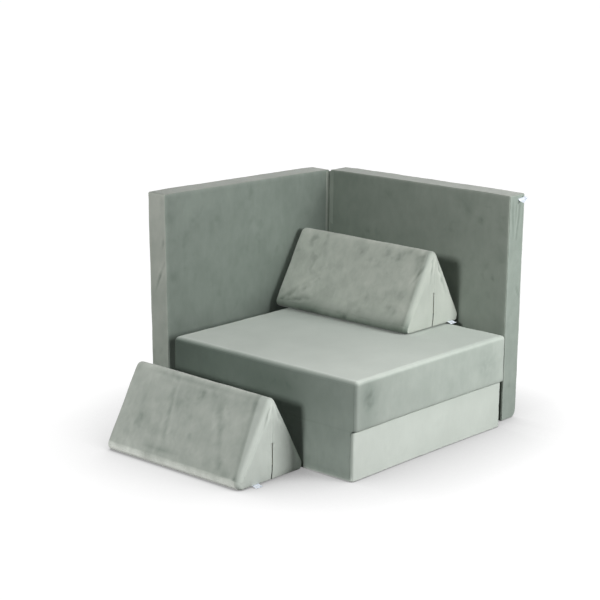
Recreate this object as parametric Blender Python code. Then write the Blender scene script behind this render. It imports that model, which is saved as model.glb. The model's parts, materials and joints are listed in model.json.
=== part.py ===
"""A modular foam play sofa, in metres with +Z up.

It is four loose modules: a base of two thick halves folded on each other, a thinner mat
stood up in an L as arm and back, and two wedges. Each module is foam in a zipped cover.
The origin is the middle of the lower half's underside, and the sofa faces -Y.
"""

from math import cos, hypot, pi, radians, sin, sqrt, tan

import bmesh
import bpy
from mathutils import Matrix, Vector

# Base: two equal halves that fold at the front
BASE_SIDE = 0.800
BASE_THICKNESS = 0.1655
BASE_EDGE_RADIUS = 0.010
BASE_CROWN = 0.003
BASE_DRAW = 0.003
UPPER_HALF_SHIFT = 0.012

# Mat: two panels that fold at the sofa's inner corner
MAT_LENGTH = 0.804
MAT_HEIGHT = 0.792
MAT_THICKNESS = 0.085
MAT_EDGE_RADIUS = 0.007
MAT_CROWN = 0.003
MAT_DRAW = 0.003
MAT_FOOT_RADIUS = 0.028
ARM_OPENING = radians(2.4)
CORNER_BESIDE_SEAT = 0.048
CORNER_BEHIND_SEAT = 0.0525

# Wedges: equilateral in section, with round long edges
WEDGE_LENGTH = 0.587
WEDGE_SIDE = 0.333
WEDGE_EDGE_RADIUS = 0.020
WEDGE_END_RADIUS = 0.008
WEDGE_CROWN = 0.004
WEDGE_END_CROWN = 0.004
SEAT_WEDGE_FROM_CORNER = 0.018
FLOOR_WEDGE_FROM_SIDE = 0.008
WEDGE_REST_GAP = 0.0005
SEAT_WEDGE_TURN_BEHIND = 0.040

# Covers, and the clearance that pieces keep where they touch
COVER_WALL = 0.002
TOUCH = 0.0003
FOLD_GAP = 0.0005
HINGE_STRIP_PROUD = 0.0008
OVERRUN = 0.010

# Concealed zips: a tape behind the cover's slit, its coil on the inner side
SLIT_WIDTH = 0.004
TAPE_WIDTH = 0.024
TAPE_THICKNESS = 0.0008
COIL_WIDTH = 0.0056
COIL_HEIGHT = 0.0022
COIL_PARTING = 0.0016
TAPE_PAST_SLIT = 0.006
STOP_LENGTH = 0.008
CHANNEL_CLEARANCE = 0.001
ZIP_END_MARGIN = 0.060
WEDGE_ZIP_MARGIN = 0.034
WEDGE_SLIT_HEIGHT = 0.124

# Zip sliders, which have no pull so that children can't open them
SLIDER_LENGTH = 0.010
SLIDER_PLATE = 0.0012
SLIDER_FLANGE = 0.0015
SLIDER_NECK = 0.0010
SLIDER_LUG_WIDTH = 0.0030
SLIDER_LUG_RECESS = 0.0004

# Blank folded labels, sewn into a seam
LABEL_WIDTH = 0.030
LABEL_REACH = 0.022
LABEL_THICKNESS = 0.0012
LABEL_RISE = 0.005
LABEL_TURN_STEPS = 5
BACK_LABEL_BELOW_TOP = 0.008
LABEL_STRAIGHT_SHARE = 0.25
SEAT_LABEL_SHARE = 0.33
FLOOR_LABEL_SHARE = -0.25
BACK_LABEL_SHARE = 0.72

# How finely the soft forms are divided
PLATEAU_POWER = 6
FOOT_LINE_SHARES = (1.0, 0.6)
DRAW_DEPTH_POWER = 4
ARC_STEPS = 2
BASE_FLAT_STEPS = (10, 10, 2)
MAT_FLAT_STEPS = (10, 2, 10)
CORE_ARC_STEPS = 1
CORE_BASE_FLAT_STEPS = (4, 4, 1)
CORE_MAT_FLAT_STEPS = (4, 1, 4)
# Wedge steps: round each long edge, up each side, along, round the end, into the end
WEDGE_STEPS = (4, 4, 8, 3, 3)
CORE_WEDGE_STEPS = (2, 2, 2, 3, 2)
STRIP_ARC_STEPS = 8
TAPE_BEND_STEPS = 4
SMOOTH_UP_TO = radians(35)

SEAT_HEIGHT = 2 * BASE_THICKNESS + TOUCH
AXES = {"x": 0, "y": 1, "z": 2}


def clear_scene():
    for leftover in list(bpy.data.objects):
        bpy.data.objects.remove(leftover)


def material(name, colour, roughness, metallic=0.0):
    made = bpy.data.materials.new(name)
    made.use_nodes = True
    shader = made.node_tree.nodes["Principled BSDF"]
    shader.inputs["Base Color"].default_value = (*colour, 1.0)
    shader.inputs["Roughness"].default_value = roughness
    shader.inputs["Metallic"].default_value = metallic
    return made


def add_object(name, form, finish=None, place=(0, 0, 0), turn=(0, 0, 0)):
    """An object from a bmesh. One without a finish is a cutter, which no build keeps."""
    mesh = bpy.data.meshes.new(name)
    bmesh.ops.triangulate(form, faces=form.faces, quad_method="FIXED")
    form.normal_update()
    form.to_mesh(mesh)
    form.free()
    made = bpy.data.objects.new(name, mesh)
    bpy.context.scene.collection.objects.link(made)
    made.location = place
    made.rotation_euler = turn
    if finish:
        mesh.materials.append(finish)
        mesh.shade_smooth()
        mesh.set_sharp_from_angle(angle=SMOOTH_UP_TO)
    else:
        made.hide_render = True
        made.display_type = "WIRE"
    return made


def subtract(target, tool):
    cut = target.modifiers.new("cut_" + tool.name, "BOOLEAN")
    cut.operation = "DIFFERENCE"
    cut.object = tool


def axis_at(name, place):
    """An empty on a joint's axis, for the pieces of the body that moves there."""
    made = bpy.data.objects.new(name, None)
    bpy.context.scene.collection.objects.link(made)
    made.location = place
    return made


def hang_on(parent, *pieces):
    """Parents pieces and leaves them where they are."""
    bpy.context.view_layer.update()
    for piece in pieces:
        piece.parent = parent
        piece.matrix_parent_inverse = parent.matrix_world.inverted()


# Soft blocks

def lattice_lines(half, radius, arc_steps, flat_steps, extra=()):
    """Grid lines across a block, close together where its edges turn."""
    flat = half - radius
    turn = [flat + radius * tan(pi / 4 * step / arc_steps) for step in range(arc_steps + 1)]
    middle = [flat * (2 * step / flat_steps - 1) for step in range(1, flat_steps)]
    return [-line for line in reversed(turn)] + sorted(middle + list(extra)) + turn


def lattice_faces(counts):
    """The squares on the outside of a lattice, each wound so that it faces out."""
    for axis in range(3):
        first, second = (axis + 1) % 3, (axis + 2) % 3
        for side in (0, counts[axis]):
            for i in range(counts[first]):
                for j in range(counts[second]):
                    square = []
                    for step_i, step_j in ((0, 0), (1, 0), (1, 1), (0, 1)):
                        corner = [side, side, side]
                        corner[first] = i + step_i
                        corner[second] = j + step_j
                        square.append(tuple(corner))
                    yield square if side else square[::-1]


def side_of(axis, value):
    return ("+" if value > 0 else "-") + "xyz"[axis]


def round_foot(placed, half, foot, sign):
    """Rounds the bottom edge of a panel's outer side, which is at sign on its own Y."""
    across = placed.y * sign - (half.y - foot)
    down = foot - half.z - placed.z
    if across > 0 and down > 0:
        shorten = max(across, down) / hypot(across, down)
        placed.y = sign * (half.y - foot + across * shorten)
        placed.z = foot - half.z - down * shorten


def soft_point(point, half, radius, crown, draw):
    """A lattice point moved to the soft block: round edges, swollen faces, drawn-in sides."""
    inner = Vector(max(radius - h, min(h - radius, p)) for p, h in zip(point, half))
    out = (point - inner).normalized() * radius
    placed = inner + out
    share = [min(1.0, abs(p) / h) for p, h in zip(point, half)]
    for axis in range(3):
        side = side_of(axis, point[axis])
        sign = 1 if point[axis] > 0 else -1
        others = [share[other] for other in range(3) if other != axis]
        if share[axis] == 1.0:
            swell = (1 - others[0] ** PLATEAU_POWER) * (1 - others[1] ** PLATEAU_POWER)
            placed[axis] += sign * crown.get(side, 0) * swell
        if side in draw:
            along, depth = draw[side]
            pull = (1 - share[AXES[along]] ** 2) * share[axis] ** DRAW_DEPTH_POWER
            placed[axis] -= sign * depth * pull
    return placed


def soft_block(size, radius, crown, draw, arc_steps, flat_steps, foot=0.0, foot_sign=0):
    """A closed block about its own centre. crown is the swell of each named side, draw
    pulls a side in between its ends, as (the axis it runs along, the depth), and foot is
    the larger radius of one bottom edge, on the side of its Y that foot_sign gives."""
    half = Vector(size) / 2
    extra = [(), (), ()]
    if foot:
        extra[1] = [foot_sign * (half.y - foot * share) for share in FOOT_LINE_SHARES]
        extra[2] = [foot * share - half.z for share in FOOT_LINE_SHARES]
    lines = [
        lattice_lines(h, radius, arc_steps, steps, more)
        for h, steps, more in zip(half, flat_steps, extra)
    ]
    form = bmesh.new()
    made = {}
    for square in lattice_faces([len(line) - 1 for line in lines]):
        for corner in square:
            if corner not in made:
                point = Vector(line[index] for line, index in zip(lines, corner))
                placed = soft_point(point, half, radius, crown, draw)
                if foot:
                    round_foot(placed, half, foot, foot_sign)
                made[corner] = form.verts.new(placed)
        form.faces.new([made[corner] for corner in square])
    return form


def box_form(low, high):
    form = bmesh.new()
    bmesh.ops.create_cube(form, size=1.0)
    low, high = Vector(low), Vector(high)
    grow = Matrix.Diagonal((*(high - low), 1.0))
    bmesh.ops.transform(form, matrix=Matrix.Translation((low + high) / 2) @ grow, verts=form.verts)
    return form


# Wedges

def triangle_ring(radius, arc_steps, side_steps):
    """Points round the equilateral section, which stands on z = 0, each as y, z, swell and
    normal. The two slopes swell, and the underside stays flat. A radius under the wedge's
    own gives the same section further in."""
    inner_side = WEDGE_SIDE - 2 * sqrt(3) * WEDGE_EDGE_RADIUS
    height = inner_side * sqrt(3) / 2
    base = WEDGE_EDGE_RADIUS
    corners = [(inner_side / 2, base), (0, base + height), (-inner_side / 2, base)]
    ring = []
    for index, (y, z) in enumerate(corners):
        start = -pi / 2 + index * 2 * pi / 3
        for step in range(arc_steps + 1):
            angle = start + 2 * pi / 3 * step / arc_steps
            ring.append((y + radius * cos(angle), z + radius * sin(angle), 0.0, (0, 0)))
        next_y, next_z = corners[(index + 1) % 3]
        normal = (cos(start + 2 * pi / 3), sin(start + 2 * pi / 3))
        swell = WEDGE_CROWN if index < 2 else 0.0
        for step in range(1, side_steps):
            share = step / side_steps
            ring.append((
                y + (next_y - y) * share + radius * normal[0],
                z + (next_z - z) * share + radius * normal[1],
                swell * (1 - (2 * share - 1) ** 2),
                normal,
            ))
    return ring


def wedge_form(shrink, arc_steps, side_steps, length_steps, end_steps, cap_steps):
    """A closed wedge along X with its near end at +X / 2, all its skin shrink further in."""
    half_length = WEDGE_LENGTH / 2 - shrink
    end_radius = WEDGE_END_RADIUS - shrink
    stations = []
    flat = half_length - end_radius
    for step in range(end_steps + 1):
        angle = pi / 2 * step / end_steps
        stations.append((flat + end_radius * sin(angle), end_radius * (1 - cos(angle))))
    middle = [(flat * (1 - 2 * step / length_steps), 0.0) for step in range(1, length_steps)]
    stations = stations[::-1] + middle + [(-x, inset) for x, inset in stations]
    form = bmesh.new()
    rings = []
    for x, inset in stations:
        radius = WEDGE_EDGE_RADIUS - shrink - inset
        along = 1 - (x / half_length) ** PLATEAU_POWER
        ring = []
        for y, z, swell, normal in triangle_ring(radius, arc_steps, side_steps):
            place = (x, y + swell * along * normal[0], z + swell * along * normal[1])
            ring.append(form.verts.new(place))
        rings.append(ring)
    count = len(rings[0])
    for ring, following in zip(rings, rings[1:]):
        for index in range(count):
            after = (index + 1) % count
            form.faces.new((ring[index], following[index], following[after], ring[after]))
    for ring, sign in ((rings[0], 1), (rings[-1], -1)):
        close_wedge_end(form, ring, sign, cap_steps)
    bmesh.ops.recalc_face_normals(form, faces=form.faces)
    return form


def close_wedge_end(form, ring, sign, cap_steps):
    """Fills an end with rings that draw in to its middle and swell outwards."""
    count = len(ring)
    middle = sum((vert.co for vert in ring), Vector()) / count
    outline = [vert.co - middle for vert in ring]
    last = ring
    for step in range(1, cap_steps):
        share = 1 - step / cap_steps
        swell = Vector((sign * WEDGE_END_CROWN * (1 - share ** 2), 0, 0))
        inner = [form.verts.new(middle + offset * share + swell) for offset in outline]
        for index in range(count):
            after = (index + 1) % count
            form.faces.new((last[index], inner[index], inner[after], last[after]))
        last = inner
    tip = form.verts.new(middle + Vector((sign * WEDGE_END_CROWN, 0, 0)))
    for index in range(count):
        form.faces.new((last[index], tip, last[(index + 1) % count]))


# Zips: made under a face that lies on z = 0 and looks down, with depth going up

TAPE_DEPTH = COVER_WALL + TOUCH
COIL_DEPTH = TAPE_DEPTH + TAPE_THICKNESS
COIL_END_DEPTH = COIL_DEPTH + COIL_HEIGHT
SLIDER_END_DEPTH = COIL_END_DEPTH + TOUCH + SLIDER_PLATE
CHANNEL_DEPTH = SLIDER_END_DEPTH + CHANNEL_CLEARANCE
CHANNEL_WIDTH = TAPE_WIDTH + 2 * TOUCH


def extrude_outline(outline, start, end):
    """A solid from an outline of (y, z) points, along X."""
    form = bmesh.new()
    near = [form.verts.new((start, y, z)) for y, z in outline]
    far = [form.verts.new((end, y, z)) for y, z in outline]
    form.faces.new(near)
    form.faces.new(far[::-1])
    for index in range(len(outline)):
        after = (index + 1) % len(outline)
        form.faces.new((near[index], far[index], far[after], near[after]))
    bmesh.ops.recalc_face_normals(form, faces=form.faces)
    return form


def zip_section():
    """The tape with its coil, as (across, depth) points."""
    half_tape, half_coil = TAPE_WIDTH / 2, COIL_WIDTH / 2
    return [
        (-half_tape, TAPE_DEPTH), (half_tape, TAPE_DEPTH),
        (half_tape, COIL_DEPTH), (half_coil, COIL_DEPTH), (half_coil, COIL_END_DEPTH),
        (-half_coil, COIL_END_DEPTH), (-half_coil, COIL_DEPTH), (-half_tape, COIL_DEPTH),
    ]


def slider_section():
    """A slider round the coil: its plate and flanges inside, its neck and lug in the slit."""
    clear_coil = COIL_WIDTH / 2 + TOUCH
    outer = clear_coil + SLIDER_FLANGE
    flange_top = COIL_DEPTH + TOUCH
    plate = COIL_END_DEPTH + TOUCH
    neck, lug = SLIDER_NECK / 2, SLIDER_LUG_WIDTH / 2
    right = [
        (lug, SLIDER_LUG_RECESS), (lug, COVER_WALL), (neck, COVER_WALL), (neck, plate),
        (clear_coil, plate), (clear_coil, flange_top),
        (outer, flange_top), (outer, SLIDER_END_DEPTH),
    ]
    return right + [(-across, depth) for across, depth in reversed(right)]


def bent_tape(start, end, top):
    """The zip's section swept along a wedge's underside, round its near end's edge and up."""
    radius = WEDGE_END_RADIUS
    flat = end - radius
    stations = [((start, 0), (0, 1)), ((flat, 0), (0, 1))]
    for step in range(1, TAPE_BEND_STEPS + 1):
        angle = pi / 2 * step / TAPE_BEND_STEPS
        place = (flat + radius * sin(angle), radius * (1 - cos(angle)))
        stations.append((place, (-sin(angle), cos(angle))))
    stations.append(((end, top), (-1, 0)))
    form = bmesh.new()
    rings = []
    for (x, z), inward in stations:
        rings.append([
            form.verts.new((x + inward[0] * depth, across, z + inward[1] * depth))
            for across, depth in zip_section()
        ])
    for ring, following in zip(rings, rings[1:]):
        for index in range(len(ring)):
            after = (index + 1) % len(ring)
            form.faces.new((ring[index], following[index], following[after], ring[after]))
    form.faces.new(rings[0])
    form.faces.new(rings[-1])
    bmesh.ops.recalc_face_normals(form, faces=form.faces)
    return form


def fit_zip(name, cover, core, start, end, place, turn, finishes, riser=0.0):
    """Cuts the slit in a cover and the channel in its foam, and puts in the zip and slider.
    start and end are the slit's ends along the face, and riser is how far the zip climbs
    the near end of a wedge. Returns the zip and its slider, which is at the start."""
    def cut(target, label, across, along, depths):
        low = (along[0], -across / 2, depths[0])
        high = (along[1], across / 2, depths[1])
        tool = add_object(name + label, box_form(low, high), None, place, turn)
        subtract(target, tool)

    tape_start = start - TAPE_PAST_SLIT
    channel_start = tape_start - TOUCH
    if riser:
        tape_top = riser + TAPE_PAST_SLIT
        form = bent_tape(tape_start, end, tape_top)
        past_end = end + OVERRUN
        parting_end = end - WEDGE_ZIP_MARGIN
        cut(cover, "_slit_cut", SLIT_WIDTH, (start, past_end), (-OVERRUN, riser))
        cut(core, "_channel_cut", CHANNEL_WIDTH, (channel_start, past_end), (-OVERRUN, CHANNEL_DEPTH))
        cut(core, "_climb_cut", CHANNEL_WIDTH, (end - CHANNEL_DEPTH, past_end),
            (-OVERRUN, tape_top + TOUCH))
    else:
        tape_end = end + TAPE_PAST_SLIT
        form = extrude_outline(zip_section(), tape_start, tape_end)
        parting_end = end
        cut(cover, "_slit_cut", SLIT_WIDTH, (start, end), (-OVERRUN, COVER_WALL + OVERRUN))
        cut(core, "_channel_cut", CHANNEL_WIDTH, (channel_start, tape_end + TOUCH),
            (-OVERRUN, CHANNEL_DEPTH))
    tape = add_object(name, form, finishes["tape"], place, turn)
    cut(tape, "_parting_cut", COIL_PARTING, (start, parting_end), (-OVERRUN, COIL_END_DEPTH + OVERRUN))
    slider_start = start + STOP_LENGTH
    slider_form = extrude_outline(slider_section(), slider_start, slider_start + SLIDER_LENGTH)
    slider = add_object(name + "_slider", slider_form, finishes["slider"], place, turn)
    return tape, slider


# Covers and foam

def filled_block(name, size, radius, crown, draw, steps, core_steps, place, turn, finishes,
                 foot=0.0, foot_sign=0):
    """A cover and the foam inside it, as two solids that keep the touching clearance."""
    def layer(shrink, arc_steps, flat_steps):
        inner = [length - 2 * shrink for length in size]
        inner_foot = foot - shrink if foot else foot
        return soft_block(inner, radius - shrink, crown, draw, arc_steps, flat_steps,
                          inner_foot, foot_sign)

    cover = add_object(name + "_cover", layer(0, ARC_STEPS, steps), finishes["velvet"], place, turn)
    hollow_form = layer(COVER_WALL, CORE_ARC_STEPS, core_steps)
    subtract(cover, add_object(name + "_hollow", hollow_form, None, place, turn))
    core_form = layer(COVER_WALL + TOUCH, CORE_ARC_STEPS, core_steps)
    core = add_object(name + "_foam", core_form, finishes["foam"], place, turn)
    return cover, core


def filled_wedge(name, far_end, back_edge_y, floor, label_share, finishes):
    """A wedge on a surface, its far end's place on X and its back edge's on Y given."""
    half_width = WEDGE_SIDE / 2 - WEDGE_EDGE_RADIUS * (sqrt(3) - 1)
    place = Vector((far_end + WEDGE_LENGTH / 2, back_edge_y - half_width, floor))
    cover = add_object(name + "_cover", wedge_form(0, *WEDGE_STEPS), finishes["velvet"], place)
    hollow = add_object(name + "_hollow", wedge_form(COVER_WALL, *CORE_WEDGE_STEPS), None, place)
    subtract(cover, hollow)
    core_form = wedge_form(COVER_WALL + TOUCH, *CORE_WEDGE_STEPS)
    core = add_object(name + "_foam", core_form, finishes["foam"], place)
    start = WEDGE_ZIP_MARGIN - WEDGE_LENGTH / 2
    tape, slider = fit_zip(name + "_zip", cover, core, start, WEDGE_LENGTH / 2, place, (0, 0, 0),
                           finishes, riser=WEDGE_SLIT_HEIGHT)
    label_place = place + Vector((WEDGE_LENGTH / 2, label_share * 2 * half_width, 0))
    label = add_label(name + "_label", label_place, WEDGE_END_RADIUS, LABEL_RISE, finishes)
    return cover, core, tape, label, slider


def add_label(name, place, edge_radius, rise, finishes):
    """A blank folded label that comes out of a seam along +X, then bends down flat."""
    inset = edge_radius - sqrt(edge_radius ** 2 - (edge_radius - rise) ** 2)
    half = LABEL_THICKNESS / 2
    drop = rise - half - TOUCH
    middle = [(TOUCH - inset, rise)]
    straight = LABEL_REACH * LABEL_STRAIGHT_SHARE
    for step in range(LABEL_TURN_STEPS + 1):
        share = step / LABEL_TURN_STEPS
        out = straight + (LABEL_REACH - straight) * share
        middle.append((out, rise - drop * (1 - cos(pi * share)) / 2))
    upper = [(x, z + half) for x, z in middle]
    lower = [(x, z - half) for x, z in middle]
    form = bmesh.new()
    sides = []
    for y in (-LABEL_WIDTH / 2, LABEL_WIDTH / 2):
        sides.append([form.verts.new((x, y, z)) for x, z in upper + lower[::-1]])
    form.faces.new(sides[0])
    form.faces.new(sides[1])
    for index in range(len(sides[0])):
        after = (index + 1) % len(sides[0])
        form.faces.new((sides[0][index], sides[0][after], sides[1][after], sides[1][index]))
    bmesh.ops.recalc_face_normals(form, faces=form.faces)
    return add_object(name, form, finishes["label"], place)


# Modules

def build_base(finishes):
    """The folded base. The fold is at the front, where one panel of fabric spans both halves."""
    draw = {"+x": ("y", BASE_DRAW), "-x": ("y", BASE_DRAW)}
    back = BASE_SIDE / 2
    reach = BASE_SIDE / 2 - ZIP_END_MARGIN
    bodies = {}
    for name, x, floor, swell in (
        ("base_lower", 0, 0, 0.0),
        ("base_upper", UPPER_HALF_SHIFT, BASE_THICKNESS + TOUCH, BASE_CROWN),
    ):
        thickness = BASE_THICKNESS - swell
        middle = floor + thickness / 2
        cover, core = filled_block(name, (BASE_SIDE, BASE_SIDE, thickness), BASE_EDGE_RADIUS,
                                   {"+z": swell}, draw, BASE_FLAT_STEPS, CORE_BASE_FLAT_STEPS,
                                   (x, 0, middle), (0, 0, 0), finishes)
        tape, slider = fit_zip(name + "_zip", cover, core, -reach, reach,
                               (x, back, middle), (pi / 2, 0, 0), finishes)
        bodies[name] = (cover, core, tape, slider)
    fold = Vector((0, -BASE_SIDE / 2 - FOLD_GAP, BASE_THICKNESS + TOUCH / 2))
    edge = BASE_EDGE_RADIUS
    strip_radius = hypot(edge + FOLD_GAP, edge + TOUCH / 2) - edge - TOUCH
    front_half = strip_radius * sin(pi / 4)
    outline = [(-HINGE_STRIP_PROUD, -front_half), (-HINGE_STRIP_PROUD, front_half)]
    for step in range(STRIP_ARC_STEPS + 1):
        angle = pi / 2 - pi * step / STRIP_ARC_STEPS
        outline.append((strip_radius * cos(angle), strip_radius * sin(angle)))
    half_strip = BASE_SIDE / 2 - edge
    strip_form = extrude_outline(outline, UPPER_HALF_SHIFT - half_strip, half_strip)
    add_object("base_fold_strip", strip_form, finishes["velvet"], fold)
    fold_axis = axis_at("base_fold_axis", fold)
    hang_on(fold_axis, *bodies["base_upper"])
    return fold_axis


def build_mat(finishes):
    """The mat on edge: the arm panel at -X and the back panel, hinged at the inner corner."""
    corner = Vector((UPPER_HALF_SHIFT - BASE_SIDE / 2 - CORNER_BESIDE_SEAT,
                     BASE_SIDE / 2 + CORNER_BEHIND_SEAT, 0))
    size = (MAT_LENGTH, MAT_THICKNESS, MAT_HEIGHT)
    draw = {"+z": ("x", MAT_DRAW)}
    reach = MAT_LENGTH / 2 - ZIP_END_MARGIN
    fold = corner + Vector((0, 0, MAT_HEIGHT / 2))
    made = {}
    for name, heading, thickness_side, crown_side in (
        ("arm", -pi / 2 - ARM_OPENING, -1, "+y"),
        ("back", 0.0, 1, "-y"),
    ):
        out_of_corner = Vector((cos(heading), sin(heading), 0))
        outward = Vector((-sin(heading), cos(heading), 0)) * thickness_side
        middle = corner + out_of_corner * (FOLD_GAP + MAT_LENGTH / 2) + outward * MAT_THICKNESS / 2
        turn = (0, 0, heading)
        cover, core = filled_block(name, size, MAT_EDGE_RADIUS, {crown_side: MAT_CROWN}, draw,
                                   MAT_FLAT_STEPS, CORE_MAT_FLAT_STEPS,
                                   middle + Vector((0, 0, MAT_HEIGHT / 2)), turn, finishes,
                                   MAT_FOOT_RADIUS, thickness_side)
        tape, slider = fit_zip(name + "_zip", cover, core, -reach, reach, middle, turn, finishes)
        made[name] = [cover, core, tape, slider]
    edge = MAT_EDGE_RADIUS
    strip_radius = hypot(edge + FOLD_GAP, edge) - edge - TOUCH
    form = bmesh.new()
    bmesh.ops.create_cone(form, cap_ends=True, segments=2 * STRIP_ARC_STEPS, radius1=strip_radius,
                          radius2=strip_radius, depth=MAT_HEIGHT - 2 * edge)
    strip = add_object("mat_fold_strip", form, finishes["velvet"], fold)
    label_place = (corner.x + FOLD_GAP + MAT_LENGTH, corner.y + MAT_THICKNESS * BACK_LABEL_SHARE,
                   MAT_HEIGHT - BACK_LABEL_BELOW_TOP - LABEL_RISE)
    made["back"].append(add_label("back_label", label_place, MAT_EDGE_RADIUS, LABEL_RISE, finishes))
    mat_axis = axis_at("mat_place", corner)
    fold_axis = axis_at("mat_fold_axis", fold)
    hang_on(mat_axis, strip, *made["arm"])
    hang_on(fold_axis, *made["back"])
    hang_on(mat_axis, fold_axis)
    return corner


def build_wedges(corner, base_fold_axis, finishes):
    """One wedge on the seat against the back panel, and one on the floor against the base."""
    seat_back_y = corner.y - MAT_CROWN - WEDGE_REST_GAP
    seat_pieces = filled_wedge("seat_wedge", corner.x + SEAT_WEDGE_FROM_CORNER, seat_back_y,
                               SEAT_HEIGHT + TOUCH, SEAT_LABEL_SHARE, finishes)
    turn_y = BASE_SIDE / 2 + SEAT_WEDGE_TURN_BEHIND
    lift = axis_at("seat_wedge_axis", (0, turn_y, SEAT_HEIGHT))
    hang_on(lift, *seat_pieces)
    hang_on(base_fold_axis, lift)
    floor_back_y = -BASE_SIDE / 2 - WEDGE_REST_GAP
    floor_pieces = filled_wedge("floor_wedge", FLOOR_WEDGE_FROM_SIDE - BASE_SIDE / 2, floor_back_y,
                                0, FLOOR_LABEL_SHARE, finishes)
    slide = axis_at("floor_wedge_place", (0, floor_back_y, 0))
    hang_on(slide, *floor_pieces)


def main():
    clear_scene()
    finishes = {
        "velvet": material("sage_velvet", (0.36, 0.42, 0.37), 0.8),
        "foam": material("cream_foam", (0.78, 0.72, 0.56), 0.95),
        "tape": material("zip_tape", (0.20, 0.24, 0.21), 0.7),
        "slider": material("zip_slider", (0.35, 0.36, 0.36), 0.35, 0.9),
        "label": material("blank_label", (0.85, 0.87, 0.92), 0.6),
    }
    base_fold_axis = build_base(finishes)
    corner = build_mat(finishes)
    build_wedges(corner, base_fold_axis, finishes)


main()
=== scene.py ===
"""The looks of a modular foam play sofa: velvet covers on foam, their zips, folds and labels.

Everything is in metres with +Z up, in the frame's own place. Each cover is a skin over a fine
lattice. It is rounded, swollen and drawn in like the foam under it. Then its seams, folds and
zip slits are worked in, and the skin gets the thickness of lined velvet.
"""

import json
from math import atan2, ceil, cos, pi, radians, sin, sqrt, tan

import bpy
import numpy as np
from mathutils import Matrix, Vector, noise

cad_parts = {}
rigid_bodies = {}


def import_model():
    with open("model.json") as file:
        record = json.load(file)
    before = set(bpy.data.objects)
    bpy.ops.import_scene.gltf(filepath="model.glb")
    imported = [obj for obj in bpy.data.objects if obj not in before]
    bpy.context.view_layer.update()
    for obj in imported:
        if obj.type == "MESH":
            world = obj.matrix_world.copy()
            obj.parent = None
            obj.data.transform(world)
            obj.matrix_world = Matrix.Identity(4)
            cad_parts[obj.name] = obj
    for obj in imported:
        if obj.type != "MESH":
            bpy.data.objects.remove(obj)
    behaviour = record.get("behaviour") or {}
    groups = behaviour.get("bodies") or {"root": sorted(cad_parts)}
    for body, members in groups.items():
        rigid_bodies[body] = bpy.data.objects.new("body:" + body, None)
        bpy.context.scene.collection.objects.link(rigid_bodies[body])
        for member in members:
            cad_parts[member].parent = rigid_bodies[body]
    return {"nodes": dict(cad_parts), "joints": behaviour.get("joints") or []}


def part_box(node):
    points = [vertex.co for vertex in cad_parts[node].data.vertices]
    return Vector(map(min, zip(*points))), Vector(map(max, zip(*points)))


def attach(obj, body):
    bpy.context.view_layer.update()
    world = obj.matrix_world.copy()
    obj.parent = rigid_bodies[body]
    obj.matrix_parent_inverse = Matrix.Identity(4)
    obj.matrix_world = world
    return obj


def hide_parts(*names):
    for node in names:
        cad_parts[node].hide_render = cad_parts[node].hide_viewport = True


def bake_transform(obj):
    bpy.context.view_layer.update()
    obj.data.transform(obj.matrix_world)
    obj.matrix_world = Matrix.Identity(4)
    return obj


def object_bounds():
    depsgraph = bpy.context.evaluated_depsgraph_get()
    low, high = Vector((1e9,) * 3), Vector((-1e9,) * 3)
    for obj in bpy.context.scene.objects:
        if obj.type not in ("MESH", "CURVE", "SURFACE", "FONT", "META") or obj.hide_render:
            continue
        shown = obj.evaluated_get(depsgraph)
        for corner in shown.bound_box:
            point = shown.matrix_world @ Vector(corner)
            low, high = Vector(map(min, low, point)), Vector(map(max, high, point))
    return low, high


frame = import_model()
cad_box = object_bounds()
JOINTS = {joint["name"]: joint for joint in frame["joints"]}

# Camera, solved on the photograph's corners
CAMERA_PLACE = (3.742, -4.4676, 1.8848)
CAMERA_LENS = 106.46
CAMERA_AZIMUTH = radians(41.259)
CAMERA_ELEVATION = radians(13.826)
CAMERA_ROLL = radians(0.755)

# Light: a softbox close on the right, a lamp straight in front, light from above, and a
# weaker lamp behind that only reaches the mat's outer faces. A sun has its strength, the way
# to it and its spread in degrees.
SUNS = {
    "front": (1.85, (0.03, -0.93, 0.33), 11),
    "above": (0.55, (0.1, -0.1, 1.0), 60),
    "behind": (1.5, (-0.55, 0.82, 0.12), 25),
}
SOFTBOX = 54
SOFTBOX_SIZE = 0.9
SOFTBOX_PLACE = (2.25, 0.60, 1.20)
SOFTBOX_AIM = (0, 0, 0.35)
SKY = 0.045
BACKDROP = 0.985
FLOOR_TONE = 0.12
FLOOR_REACH = 30.0
FLOOR_SHADE_REACH = 0.42
# Painted shadow on the floor: how light it shows, by how open the space over it is
FLOOR_SHADES = ((0.35, 0.30), (0.50, 0.53625), (0.85, 0.80925), (1.0, 0.975))
SEEN_RAYS = ("Is Camera Ray", "Is Glossy Ray", "Is Transmission Ray")

# Base halves, and the panel of fabric over their fronts
SEAT_CORNER = 0.016
SEAT_LEFT_CORNER = 0.006
SEAT_TOP_EDGE = 0.012
SPLIT_EDGE = 0.006
FLOOR_EDGE = 0.005
SEAT_CROWN = 0.003
SIDE_DRAW = 0.003
SEAT_SEAM_INSET = 0.012
BOX_SEAM_INSET = 0.001
PANEL_PROUD = 0.0004
PANEL_FROM_EDGE = 0.006
PANEL_FOLD = 0.008
PANEL_DIP = 0.0003
CREASE_WIDTH = 0.004
# Painted shade and painted highlights on the base halves' covers
TOP_EDGE_SHADE = 0.55
SPLIT_SHADE = 0.75
SIDE_END_SHADE = 0.16
SIDE_END_PLACE = -0.34
SIDE_END_REACH = 0.05
FLOOR_EDGE_LIGHT = 0.7

# Mat panels
MAT_EDGE = 0.005
MAT_FOOT = 0.028
MAT_CROWN = 0.003
MAT_TOP_CROWN = 0.002
ARM_RISE = 0.003
BACK_RISE = 0.006
MAT_GAP = 0.0012
MAT_HEIGHT = 0.792
ARM_LEAN = 0.012
ZIP_STRAIGHT = 0.007
ZIP_FADE = 0.06
FLAP_REACH = 0.019
FLAP_PROUD = 0.0006

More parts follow.
